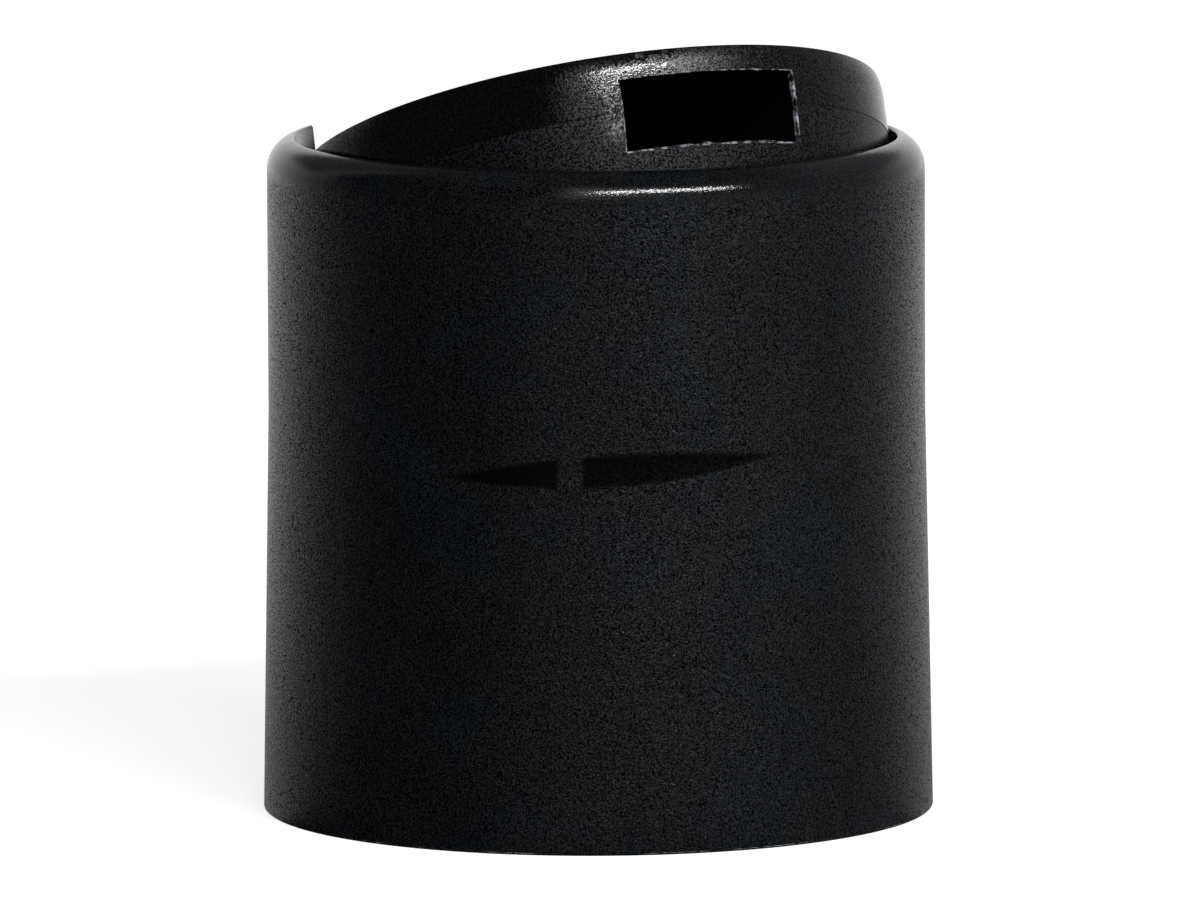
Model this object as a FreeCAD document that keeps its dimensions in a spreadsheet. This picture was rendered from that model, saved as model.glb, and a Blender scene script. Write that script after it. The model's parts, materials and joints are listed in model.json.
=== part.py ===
import FreeCAD, Part
import math
import os
import Sketcher

# Disc top cap for a 24 mm screw neck, in millimetres.
# The origin is on the axis at the base, +Z is up and the dispensing slot faces -Y.
# The disc stands open: its front is tilted up about the pivot until its rear meets the stop.

SIZES = {
    # Skirt of the cap body
    "base_wall": 1.75,        # neck bore to the outside of the skirt, at the base
    "taper": 0.3,             # base to deck, on the radius. The skirt is straight above it.
    "base_bevel": 0.2,        # outer edge of the base
    "shoulder_round": 1.35,   # rounded shoulder
    # Neck bore and deck
    "neck_radius": 12.15,     # root of the neck thread
    "neck_depth": 15.4,       # base to the underside of the deck
    "mouth_bevel": 0.5,       # lead-in at the base
    "deck_thickness": 1.3,
    "deck_bevel": 0.5,        # between the neck bore and the deck
    "bead_radius": 9.3,       # sealing bead that presses on the bottle's lip
    "bead_width": 1.0,        # at its root
    "bead_height": 0.4,
    # Recess for the disc
    "recess_depth": 11.3,     # rim to deck
    "rim_width": 1.15,        # recess to the outside of the skirt, under the shoulder
    "notch_width": 17.9,      # finger notch in the rear of the rim
    "notch_depth": 1.6,
    "notch_slant": 11.0,      # lean of its two ends, in degrees
    "notch_round": 0.6,       # its two lower corners
    # Spout that rises from the deck to the ball
    "spout_bore": 2.4,
    "spout_wall": 0.8,
    "lip_wall": 0.35,
    "seat_gap": 0.08,         # running gap between the ball and its seat
    # Stop under the rear of the disc
    "stop_span": 56.0,        # degrees round the axis
    "stop_length": 5.0,       # inward from the recess wall
    "stop_gap": 0.05,         # left under the open disc
    # Disc
    "disc_gap": 0.3,          # all round, in the recess
    "disc_drop": 0.1,         # below the rim when it is shut
    "edge_bevel": 0.15,       # top edge
    "plate_thickness": 1.1,
    "flange_height": 2.45,
    "skirt_ledge": 0.05,      # flange to the lower wall
    "skirt_wall": 2.0,        # under the flange
    "skirt_slant": 0.75,      # inward at its lower end, which swings outward as the disc tilts
    "skirt_depth": 6.0,       # top of the disc to the lower wall's end
    "dish_back": 5.6,         # thumb dish, behind the disc's centre
    "dish_radius": 4.4,
    "dish_side": 1.2,         # width of its slanted side
    "dish_depth": 0.35,
    # Pivot
    "pivot_back": 1.0,        # behind the axis of the cap
    "pivot_drop": 1.4,        # below the top of the disc
    "open_angle": 22.0,
    "stud_radius": 0.8,
    "stud_reach": 0.5,        # into the wall of the recess
    "stud_bevel": 0.25,
    "socket_gap": 0.08,
    # Ball, channel and slot
    "ball_radius": 4.0,
    "slot_width": 7.7,
    "slot_height": 2.95,
    "throat_width": 3.6,
    "throat_height": 1.9,
    "throat_back": 2.3,       # behind the pivot
    "duct_wall": 0.8,
    "duct_start": 1.4,        # ahead of the pivot, inside the ball
    "inlet_angle": 52.5,      # from straight down towards the rear, when shut
    "inlet_width": 3.2,
    "inlet_height": 1.25,
}

# Sizes and places that follow from the driving sizes. Those of the disc are from its pivot.
PLACES = {
    "base_radius": "Sizes.neck_radius + Sizes.base_wall",
    "top_radius": "base_radius - Sizes.taper",
    "recess_radius": "top_radius - Sizes.rim_width",
    "body_height": "deck_top + Sizes.recess_depth",
    "shoulder_height": "body_height - sqrt(Sizes.shoulder_round ^ 2 "
                       "- (Sizes.shoulder_round - Sizes.rim_width) ^ 2)",
    "base_edge": "base_radius - Sizes.base_bevel",
    "mouth_radius": "Sizes.neck_radius + Sizes.mouth_bevel",
    "deck_top": "Sizes.neck_depth + Sizes.deck_thickness",
    "deck_middle": "Sizes.neck_depth + Sizes.deck_thickness / 2",
    "deck_bevel_radius": "Sizes.neck_radius - Sizes.deck_bevel",
    "deck_bevel_low": "Sizes.neck_depth - Sizes.deck_bevel",
    "bead_outside": "Sizes.bead_radius + Sizes.bead_width / 2",
    "bead_inside": "Sizes.bead_radius - Sizes.bead_width / 2",
    "bead_tip": "Sizes.neck_depth - Sizes.bead_height",
    "notch_top": "body_height + Sizes.notch_depth",
    "notch_floor": "body_height - Sizes.notch_depth",
    "notch_lean": "Sizes.notch_depth * tan(Sizes.notch_slant)",
    "notch_top_right": "Sizes.notch_width / 2 + notch_lean",
    "notch_top_left": "-notch_top_right",
    "notch_tangent": "Sizes.notch_round / tan(45 + Sizes.notch_slant / 2)",
    "notch_floor_right": "Sizes.notch_width / 2 - notch_lean - notch_tangent",
    "notch_floor_left": "-notch_floor_right",
    "notch_side_low": "notch_floor + notch_tangent * cos(Sizes.notch_slant)",
    "notch_side_right": "notch_floor_right + notch_tangent * (1 + sin(Sizes.notch_slant))",
    "notch_side_left": "-notch_side_right",
    "pivot_height": "body_height - Sizes.disc_drop - Sizes.pivot_drop",
    "seat_radius": "Sizes.ball_radius + Sizes.seat_gap",
    "seat_low": "pivot_height - seat_radius",
    "seat_high": "pivot_height + seat_radius",
    "spout_radius": "Sizes.spout_bore + Sizes.spout_wall",
    "lip_radius": "Sizes.spout_bore + Sizes.lip_wall",
    "lip_height": "pivot_height - sqrt(seat_radius ^ 2 - lip_radius ^ 2)",
    "lip_foot": "lip_height - Sizes.spout_wall + Sizes.lip_wall",
    "stop_inside": "recess_radius - Sizes.stop_length",
    "stop_outside": "recess_radius + Sizes.rim_width / 2",
    "stop_height": "pivot_height - rear_reach * sin(Sizes.open_angle) "
                   "+ skirt_low * cos(Sizes.open_angle) - Sizes.stop_gap",
    "socket_radius": "Sizes.stud_radius + Sizes.socket_gap",
    "socket_span": "2 * (stud_tip + Sizes.socket_gap)",
    "disc_radius": "recess_radius - Sizes.disc_gap",
    "edge_radius": "disc_radius - Sizes.edge_bevel",
    "edge_low": "Sizes.pivot_drop - Sizes.edge_bevel",
    "skirt_radius": "disc_radius - Sizes.skirt_ledge",
    "skirt_end": "skirt_radius - Sizes.skirt_slant",
    "cavity_radius": "skirt_radius - Sizes.skirt_wall",
    "rear_reach": "skirt_end - Sizes.pivot_back",
    "plate_low": "Sizes.pivot_drop - Sizes.plate_thickness",
    "plate_middle": "Sizes.pivot_drop - Sizes.plate_thickness / 2",
    "flange_low": "Sizes.pivot_drop - Sizes.flange_height",
    "skirt_low": "Sizes.pivot_drop - Sizes.skirt_depth",
    "dish_place": "Sizes.pivot_back - Sizes.dish_back",
    "dish_floor": "Sizes.pivot_drop - Sizes.dish_depth",
    "dish_floor_radius": "Sizes.dish_radius - Sizes.dish_side",
    "stud_root": "(cavity_radius + disc_radius) / 2",
    "stud_tip": "recess_radius + Sizes.stud_reach",
    "stud_shoulder": "stud_tip - Sizes.stud_bevel",
    "stud_end": "Sizes.stud_radius - Sizes.stud_bevel",
    "ball_bottom": "-Sizes.ball_radius",
    "slot_start": "Sizes.pivot_back + cavity_radius",
    "slot_right": "Sizes.slot_width / 2",
    "slot_left": "-slot_right",
    "slot_low": "plate_low - Sizes.slot_height",
    "throat_right": "Sizes.throat_width / 2",
    "throat_left": "-throat_right",
    "throat_low": "plate_low - Sizes.throat_height",
    "throat_length": "Sizes.duct_start + Sizes.throat_back",
    "duct_front_right": "slot_right + Sizes.duct_wall",
    "duct_front_left": "-duct_front_right",
    "duct_front_low": "slot_low - Sizes.duct_wall",
    "duct_corner": "Sizes.pivot_back + sqrt(skirt_end ^ 2 - duct_front_right ^ 2)",
    "duct_front": "(slot_start + duct_corner) / 2",
    "duct_rear_right": "throat_right + Sizes.duct_wall",
    "duct_rear_left": "-duct_rear_right",
    "duct_rear_low": "throat_low - Sizes.duct_wall",
    "inlet_right": "Sizes.inlet_height / 2",
    "inlet_left": "-inlet_right",
    "inlet_start": "throat_low",
    "inlet_end": "-Sizes.ball_radius - Sizes.inlet_height",
}


def fill_sheet(name, cells):
    sheet = DOC.addObject("Spreadsheet::Sheet", name)
    for row, (alias, content) in enumerate(cells.items(), 1):
        sheet.set(f"A{row}", alias)
        sheet.set(f"B{row}", content)
        sheet.setAlias(f"B{row}", alias)
    DOC.recompute()
    return sheet


DOC = FreeCAD.newDocument("disc_top_cap")
SIZE_SHEET = fill_sheet("Sizes", {alias: str(size) for alias, size in SIZES.items()})
PLACE_SHEET = fill_sheet("Places", {alias: "=" + formula for alias, formula in PLACES.items()})


def number(alias):
    if alias == "0":
        return 0.0
    return getattr(SIZE_SHEET if alias in SIZES else PLACE_SHEET, alias)


def cell(alias):
    return ("Sizes." if alias in SIZES else "Places.") + alias


def new_sketch(body, role, name, forward=None):
    """A sketch on one of the body's own planes, moved along the plane's normal by a named size."""
    sketch = body.newObject("Sketcher::SketchObject", name)
    plane = next(item for item in body.Origin.OriginFeatures if item.Role == role)
    sketch.AttachmentSupport = [(plane, "")]
    sketch.MapMode = "FlatFace"
    if forward:
        sketch.setExpression("AttachmentOffset.Base.z", forward)
    return sketch


def bind(sketch, constraint, alias):
    index = sketch.addConstraint(constraint)
    sketch.setExpression(f"Constraints[{index}]", cell(alias))


def place_point(sketch, curve, end, across, upward):
    for kind, axis, alias in (("DistanceX", -2, across), ("DistanceY", -1, upward)):
        if alias == "0":
            sketch.addConstraint(Sketcher.Constraint("PointOnObject", curve, end, axis))
        else:
            bind(sketch, Sketcher.Constraint(kind, -1, 1, curve, end, number(alias)), alias)


def arc_between(start, finish, radius, side):
    """The lesser arc from start to finish, with its centre on the left (1) or the right (-1)."""
    chord = finish - start
    left = FreeCAD.Vector(-chord.y, chord.x, 0).normalize()
    rise = math.sqrt(max(radius ** 2 - chord.Length ** 2 / 4, 0))
    centre = start + chord / 2 + left * rise * side
    first, last = (start, finish) if side > 0 else (finish, start)
    angles = [math.atan2(point.y - centre.y, point.x - centre.x) for point in (first, last)]
    return Part.ArcOfCircle(Part.Circle(centre, FreeCAD.Vector(0, 0, 1), radius), *angles)


def draw_outline(sketch, corners):
    """A closed outline. A corner that also names a radius and a side starts an arc to the next."""
    points = [FreeCAD.Vector(number(corner[0]), number(corner[1]), 0) for corner in corners]
    ends = []
    for corner, start, finish in zip(corners, points, points[1:] + points[:1]):
        if len(corner) == 2:
            curve = sketch.addGeometry(Part.LineSegment(start, finish), False)
            ends.append((curve, 1, 2))
        else:
            alias, side = corner[2:]
            curve = sketch.addGeometry(arc_between(start, finish, number(alias), side), False)
            bind(sketch, Sketcher.Constraint("Radius", curve, number(alias)), alias)
            ends.append((curve, 1, 2) if side > 0 else (curve, 2, 1))
    for corner, here, after in zip(corners, ends, ends[1:] + ends[:1]):
        sketch.addConstraint(Sketcher.Constraint("Coincident", here[0], here[2], after[0], after[1]))
        place_point(sketch, here[0], here[1], corner[0], corner[1])


def draw_rectangle(sketch, left, right, low, high):
    draw_outline(sketch, [(left, low), (right, low), (right, high), (left, high)])


def draw_circle(sketch, across, upward, radius):
    centre = FreeCAD.Vector(number(across), number(upward), 0)
    circle = Part.Circle(centre, FreeCAD.Vector(0, 0, 1), number(radius))
    curve = sketch.addGeometry(circle, False)
    place_point(sketch, curve, 3, across, upward)
    bind(sketch, Sketcher.Constraint("Radius", curve, number(radius)), radius)


def add_feature(body, kind, name, sketch, **settings):
    """Make a feature from a sketch and check that it added or cut as its kind should."""
    before = body.Tip.Shape.Volume if body.Tip else 0
    feature = body.newObject("PartDesign::" + kind, name)
    feature.Profile = sketch
    for key, value in settings.items():
        setattr(feature, key, value)
    DOC.recompute()
    change = feature.Shape.Volume - before
    cuts = kind in ("Pocket", "Groove", "SubtractiveLoft")
    if change * (-1 if cuts else 1) <= 0:
        raise RuntimeError(f"{name} of {body.Label} changed nothing")
    return feature


def revolve(body, kind, name, sketch, axis="V_Axis", **settings):
    return add_feature(body, kind, name, sketch, ReferenceAxis=(sketch, [axis]), **settings)


def new_body(name):
    body = DOC.addObject("PartDesign::Body", name)
    body.Label = name
    return body


def make_cap_body():
    body = new_body("cap_body")

    # Skirt, shoulder, deck and neck bore in one turned section
    section = new_sketch(body, "XZ_Plane", "section")
    draw_outline(section, [
        ("mouth_radius", "0"),
        ("base_edge", "0"),
        ("base_radius", "base_bevel"),
        ("top_radius", "deck_top"),
        ("top_radius", "shoulder_height", "shoulder_round", 1),
        ("recess_radius", "body_height"),
        ("recess_radius", "deck_top"),
        ("0", "deck_top"),
        ("0", "neck_depth"),
        ("bead_inside", "neck_depth"),
        ("bead_radius", "bead_tip"),
        ("bead_outside", "neck_depth"),
        ("deck_bevel_radius", "neck_depth"),
        ("neck_radius", "deck_bevel_low"),
        ("neck_radius", "mouth_bevel"),
    ])
    revolve(body, "Revolution", "shell", section)

    # Stop that the rear of the open disc comes down on
    stop = new_sketch(body, "YZ_Plane", "stop_section")
    draw_rectangle(stop, "stop_inside", "stop_outside", "deck_middle", "stop_height")
    feature = revolve(body, "Revolution", "stop", stop, Midplane=True, Angle=SIZES["stop_span"])
    feature.setExpression("Angle", "Sizes.stop_span")

    # Spout under the ball, bored through the deck and seated to the ball
    spout = new_sketch(body, "XZ_Plane", "spout_section", "-Sizes.pivot_back")
    draw_outline(spout, [
        ("0", "deck_middle"),
        ("spout_radius", "deck_middle"),
        ("spout_radius", "lip_foot"),
        ("lip_radius", "lip_height"),
        ("0", "lip_height"),
    ])
    revolve(body, "Revolution", "spout", spout)
    bore = new_sketch(body, "XY_Plane", "bore_circle")
    draw_circle(bore, "0", "pivot_back", "spout_bore")
    add_feature(body, "Pocket", "bore", bore, Type="ThroughAll", Reversed=True)
    seat = new_sketch(body, "XZ_Plane", "seat_section", "-Sizes.pivot_back")
    draw_outline(seat, [
        ("0", "seat_low", "seat_radius", 1),
        ("seat_radius", "pivot_height"),
        ("0", "pivot_height"),
    ])
    revolve(body, "Groove", "seat", seat)

    # Sockets for the two studs, in one cut across the recess
    sockets = new_sketch(body, "YZ_Plane", "socket_circle")
    draw_circle(sockets, "pivot_back", "pivot_height", "socket_radius")
    feature = add_feature(body, "Pocket", "sockets", sockets,
                          Midplane=True, Length=number("socket_span"))
    feature.setExpression("Length", "Places.socket_span")

    # Finger notch through the rear of the rim
    notch = new_sketch(body, "XZ_Plane", "notch_outline")
    draw_outline(notch, [
        ("notch_floor_left", "notch_floor"),
        ("notch_floor_right", "notch_floor", "notch_round", 1),
        ("notch_side_right", "notch_side_low"),
        ("notch_top_right", "notch_top"),
        ("notch_top_left", "notch_top"),
        ("notch_side_left", "notch_side_low", "notch_round", 1),
    ])
    add_feature(body, "Pocket", "notch", notch, Type="ThroughAll")
    return body


def make_disc():
    """The disc, modelled shut about its pivot axis and then tilted open by its placement."""
    body = new_body("disc")

    # Plate, flange and lower wall
    section = new_sketch(body, "XZ_Plane", "section", "Sizes.pivot_back")
    draw_outline(section, [
        ("0", "plate_low"),
        ("cavity_radius", "plate_low"),
        ("cavity_radius", "skirt_low"),
        ("skirt_end", "skirt_low"),
        ("skirt_radius", "flange_low"),
        ("disc_radius", "flange_low"),
        ("disc_radius", "edge_low"),
        ("edge_radius", "pivot_drop"),
        ("0", "pivot_drop"),
    ])
    revolve(body, "Revolution", "shell", section)

    # Outside of the duct, from the ball into the lower wall
    rear = new_sketch(body, "XZ_Plane", "duct_rear_end", "Sizes.duct_start")
    draw_rectangle(rear, "duct_rear_left", "duct_rear_right", "duct_rear_low", "plate_middle")
    front = new_sketch(body, "XZ_Plane", "duct_front_end", "Places.duct_front")
    draw_rectangle(front, "duct_front_left", "duct_front_right", "duct_front_low", "plate_middle")
    add_feature(body, "AdditiveLoft", "duct", rear, Sections=[front], Ruled=True)

    # Ball, centred on the pivot
    ball = new_sketch(body, "XZ_Plane", "ball_section")
    draw_outline(ball, [
        ("0", "ball_bottom", "ball_radius", 1),
        ("ball_radius", "0"),
        ("ball_radius", "plate_middle"),
        ("0", "plate_middle"),
    ])
    revolve(body, "Revolution", "ball", ball)

    # Channel, from the throat in the ball to the slot in the front
    throat = new_sketch(body, "XZ_Plane", "throat_end", "Sizes.duct_start")
    draw_rectangle(throat, "throat_left", "throat_right", "throat_low", "plate_low")
    mouth = new_sketch(body, "XZ_Plane", "slot_end", "Places.slot_start")
    draw_rectangle(mouth, "slot_left", "slot_right", "slot_low", "plate_low")
    add_feature(body, "SubtractiveLoft", "channel", throat, Sections=[mouth], Ruled=True)
    slot = new_sketch(body, "XZ_Plane", "slot_outline", "Places.slot_start")
    draw_rectangle(slot, "slot_left", "slot_right", "slot_low", "plate_low")
    add_feature(body, "Pocket", "slot", slot, Type="ThroughAll", Reversed=True)
    throat_hole = new_sketch(body, "XZ_Plane", "throat_outline", "Sizes.duct_start")
    draw_rectangle(throat_hole, "throat_left", "throat_right", "throat_low", "plate_low")
    feature = add_feature(body, "Pocket", "throat", throat_hole, Length=number("throat_length"))
    feature.setExpression("Length", "Places.throat_length")

    # Inlet in the rear of the ball, which the spout covers when the disc is shut
    inlet = new_sketch(body, "YZ_Plane", "inlet_outline")
    inlet.setExpression("AttachmentOffset.Rotation.Angle", "Sizes.inlet_angle")
    draw_rectangle(inlet, "inlet_left", "inlet_right", "inlet_end", "inlet_start")
    feature = add_feature(body, "Pocket", "inlet", inlet,
                          Midplane=True, Length=SIZES["inlet_width"])
    feature.setExpression("Length", "Sizes.inlet_width")

    # Shallow dish for the thumb
    dish = new_sketch(body, "XZ_Plane", "dish_section", "Places.dish_place")
    draw_outline(dish, [
        ("0", "dish_floor"),
        ("dish_floor_radius", "dish_floor"),
        ("dish_radius", "pivot_drop"),
        ("0", "pivot_drop"),
    ])
    revolve(body, "Groove", "dish", dish)

    # Pivot studs, turned about the pivot axis and mirrored
    stud = new_sketch(body, "XZ_Plane", "stud_section")
    draw_outline(stud, [
        ("stud_root", "0"),
        ("stud_tip", "0"),
        ("stud_tip", "stud_end"),
        ("stud_shoulder", "stud_radius"),
        ("stud_root", "stud_radius"),
    ])
    right_stud = revolve(body, "Revolution", "right_stud", stud, axis="H_Axis")
    left_stud = body.newObject("PartDesign::Mirrored", "left_stud")
    left_stud.Originals = [right_stud]
    left_stud.MirrorPlane = (stud, ["V_Axis"])
    body.Tip = left_stud

    # The pivot's place, and the tilt that lifts the front
    tilt = FreeCAD.Rotation(FreeCAD.Vector(-1, 0, 0), SIZES["open_angle"])
    body.Placement = FreeCAD.Placement(FreeCAD.Vector(0, 0, 0), tilt)
    body.setExpression("Placement.Rotation.Angle", "Sizes.open_angle")
    body.setExpression("Placement.Base.y", "Sizes.pivot_back")
    body.setExpression("Placement.Base.z", "Places.pivot_height")
    return body


def check_and_write(bodies):
    DOC.recompute()
    for item in DOC.Objects:
        if "Invalid" in item.State or "Error" in item.State:
            raise RuntimeError(f"{item.Label} failed: {item.State}")
    for body in bodies:
        shape = body.Shape
        if shape.isNull() or not shape.isValid() or len(shape.Solids) != 1:
            raise RuntimeError(f"{body.Label} is not one valid solid")
    os.makedirs("parts", exist_ok=True)
    for body in bodies:
        body.Shape.exportStep(f"parts/{body.Label}.step")
        print(body.Label, "volume", round(body.Shape.Volume, 2))


check_and_write([make_cap_body(), make_disc()])
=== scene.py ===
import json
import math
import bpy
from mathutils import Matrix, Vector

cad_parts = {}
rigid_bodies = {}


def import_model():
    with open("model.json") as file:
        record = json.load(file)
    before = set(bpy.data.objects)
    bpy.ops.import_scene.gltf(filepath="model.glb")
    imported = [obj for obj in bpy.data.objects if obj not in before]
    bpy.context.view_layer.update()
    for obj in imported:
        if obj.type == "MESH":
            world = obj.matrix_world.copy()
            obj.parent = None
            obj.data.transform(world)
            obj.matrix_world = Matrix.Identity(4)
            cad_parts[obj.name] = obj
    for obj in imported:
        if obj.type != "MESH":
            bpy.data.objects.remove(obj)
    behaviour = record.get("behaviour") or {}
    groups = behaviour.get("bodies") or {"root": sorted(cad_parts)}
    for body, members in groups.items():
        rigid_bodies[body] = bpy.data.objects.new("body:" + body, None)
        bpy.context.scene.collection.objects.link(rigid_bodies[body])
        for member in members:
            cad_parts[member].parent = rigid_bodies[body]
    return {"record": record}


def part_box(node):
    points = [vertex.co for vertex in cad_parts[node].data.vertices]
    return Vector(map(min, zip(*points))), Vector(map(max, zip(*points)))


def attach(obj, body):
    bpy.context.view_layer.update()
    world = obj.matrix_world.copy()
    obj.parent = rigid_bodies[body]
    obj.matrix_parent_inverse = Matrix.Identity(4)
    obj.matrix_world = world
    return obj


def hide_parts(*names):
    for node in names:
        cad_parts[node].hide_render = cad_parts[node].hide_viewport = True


bl_info = {
    "name": "Disc Top Cap",
    "version": (1, 0, 0),
    "blender": (4, 5, 0),
    "location": "3D View > Sidebar > Disc Cap",
    "description": "Builds the visible mouldings of a disc top cap around its packed solids",
    "category": "Object",
}

import bmesh
import bpy
from bpy.props import FloatProperty, FloatVectorProperty, IntProperty, PointerProperty
from mathutils import Matrix, Vector, noise

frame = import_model()

# Lengths are in metres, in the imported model's own frame: base at z 0, slot towards -Y
MM = 0.001
TAB = "Disc Cap"

CAP_NODE = "cap_body"
DISC_NODE = "disc"
HINGE = frame["record"]["behaviour"]["joints"][0]
CAP_BODY = HINGE["parent"]
DISC_BODY = HINGE["child"]
PIVOT = Vector(HINGE["pos_m"])
OPEN_ANGLE = math.radians(max(HINGE["range_deg"]))
NECK = next(mount for mount in frame["record"]["mounts"] if mount["name"] == "neck")
CAP_HIGH = Vector(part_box(CAP_NODE)[1])
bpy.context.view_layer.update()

# The photograph's frame and the camera that was fitted to it
PHOTO_WIDTH = 1199
PHOTO_HEIGHT = 900
PHOTO_AZIMUTH = math.radians(-24.93)
PHOTO_ELEVATION = math.radians(7.68)
PHOTO_ROLL = math.radians(-0.24)
TOWARDS_CAMERA = Vector((math.sin(PHOTO_AZIMUTH), -math.cos(PHOTO_AZIMUTH), 0))
CAMERA_RIGHT = Vector((math.cos(PHOTO_AZIMUTH), math.sin(PHOTO_AZIMUTH), 0))
CAMERA_LENS = 485.5
CAMERA_DISTANCE = 0.67
AIM = Vector((0, 0, 13.5 * MM))
AIM_PIXEL = (597.2, 482.0)

# The studio: how much brighter the camera sees the floor, half its width, and the strip light
FLOOR_LIFT = 0.8
FLOOR_REACH = 3.0
STRIP_PLACE = CAMERA_RIGHT * 0.36 + TOWARDS_CAMERA * 0.70 + Vector((0, 0, 0.64))
STRIP_SIZE = (0.75, 0.07)
STRIP_WATTS = 6.5

# The finishes. Noise is seldom outside the first two values, and the third is where the flange's scuffed
# strip starts, left of the middle
NOISE_LOW = 0.3
NOISE_HIGH = 0.7
SCUFF_START = -2.3 * MM
PLASTIC_IOR = 1.5
WHITE = (1, 1, 1, 1)
DUST_COLOUR = (0.03, 0.032, 0.036)
# A painted highlight on the torn plastic beside the slot
SLOT_HIGHLIGHT_COLOUR = (0.3, 0.31, 0.32)
COOL_CAST = (0.7, 0.98, 1.3)

# Mesh points that are closer than this become one
MERGE_DISTANCE = 0.002 * MM


def length(name, description, millimetres):
    return FloatProperty(name=name, description=description, default=millimetres * MM, min=0,
                         subtype="DISTANCE", unit="LENGTH", precision=5)


def angle(name, description, degrees):
    return FloatProperty(name=name, description=description, default=math.radians(degrees),
                         subtype="ANGLE", unit="ROTATION")


def colour(name, description, value):
    return FloatVectorProperty(name=name, description=description, default=value, size=3,
                               min=0, max=1, subtype="COLOR")


def share(name, description, value):
    return FloatProperty(name=name, description=description, default=value, min=0, max=1,
                         subtype="FACTOR")


class DiscCapBodySizes(bpy.types.PropertyGroup):
    base_radius: length("Base Radius", "Outside of the skirt at the base", CAP_HIGH.y / MM)
    taper: length("Taper", "How much narrower the skirt is from the deck up", 0.3)
    height: length("Height", "Base to rim", 28.0)
    base_round: length("Base Rounding", "Outer edge of the base", 0.12)
    shoulder_round: length("Shoulder Rounding", "Radius of the shoulder", 1.35)
    rim_width: length("Rim Width", "Recess to the outside, under the shoulder", 1.15)
    lip_round: length("Lip Rounding", "Inner edge of the rim", 0.12)
    sink_height: length("Sink Height", "Middle of the sink mark, level with the deck", 15.76)
    sink_width: length("Sink Width", "Height of the sink mark", 1.44)
    sink_rise: length("Sink Rise", "Right end of the sink mark above its left end", 0.82)
    sink_depth: length("Sink Depth", "Depth of the sink mark", 0.03)
    sink_start: angle("Sink Start", "Left end of the sink mark, from the front", -53.0)
    sink_end: angle("Sink End", "Right end of the sink mark, from the front", 8.8)
    sink_streak: angle("Sink Streak", "A rough streak across the sink mark, from the front", -29.6)
    neck_radius: length("Neck Radius", "Root of the neck thread", NECK["dims"]["r_mm"])
    neck_depth: length("Neck Depth", "Base to the underside of the deck", 15.4)
    mouth_bevel: length("Mouth Bevel", "Lead-in of the neck bore", 0.5)
    deck_thickness: length("Deck Thickness", "The wall between neck and recess", 1.3)
    deck_round: length("Deck Rounding", "Between the neck bore and the deck", 0.5)
    bead_radius: length("Bead Radius", "Middle of the sealing bead", 9.3)
    bead_width: length("Bead Width", "Foot of the sealing bead", 1.0)
    bead_height: length("Bead Height", "Drop of the sealing bead", 0.4)
    notch_width: length("Notch Width", "Finger notch in the rear of the rim, halfway up", 17.9)
    notch_depth: length("Notch Depth", "Rim to the notch's floor", 1.6)
    notch_slant: angle("Notch Slant", "Lean of the notch's two ends", 11.0)
    notch_round: length("Notch Rounding", "The notch's lower corners", 0.6)
    spout_bore: length("Spout Bore", "Radius of the passage through the deck", 2.4)
    spout_wall: length("Spout Wall", "Thickness of the spout", 0.8)
    lip_wall: length("Spout Lip", "Thickness of the spout at its seat", 0.35)
    seat_gap: length("Seat Gap", "Between the ball and its seat", 0.08)
    stop_span: angle("Stop Span", "The stop's sector round the axis", 56.0)
    stop_length: length("Stop Length", "Inward from the recess wall", 5.0)
    stop_height: length("Stop Height", "Top of the stop above the base", 18.308)
    socket_radius: length("Socket Radius", "Sockets for the disc's studs", 0.88)
    socket_depth: length("Socket Depth", "Sockets into the recess wall", 0.58)
    turns: IntProperty(name="Segments", description="Faces round the axis", default=288, min=48)


class DiscCapThreadSizes(bpy.types.PropertyGroup):
    pitch: length("Pitch", "Rise in one turn", 3.175)
    turns: FloatProperty(name="Turns", description="Length of the thread in turns", default=1.5, min=0.5)
    start: length("Start", "Middle of the thread's lower end above the base", 2.4)
    depth: length("Depth", "How far the ridge stands in from its root", 1.05)
    root_width: length("Root Width", "Height of the ridge at its root", 1.9)
    crest_width: length("Crest Width", "Height of the ridge at its crest", 0.75)
    crest_round: length("Crest Rounding", "Edges of the crest", 0.2)
    run_out: angle("Run-out", "Length of each faded end", 26.0)
    segments: IntProperty(name="Segments", description="Sections in one turn", default=144, min=24)


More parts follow.
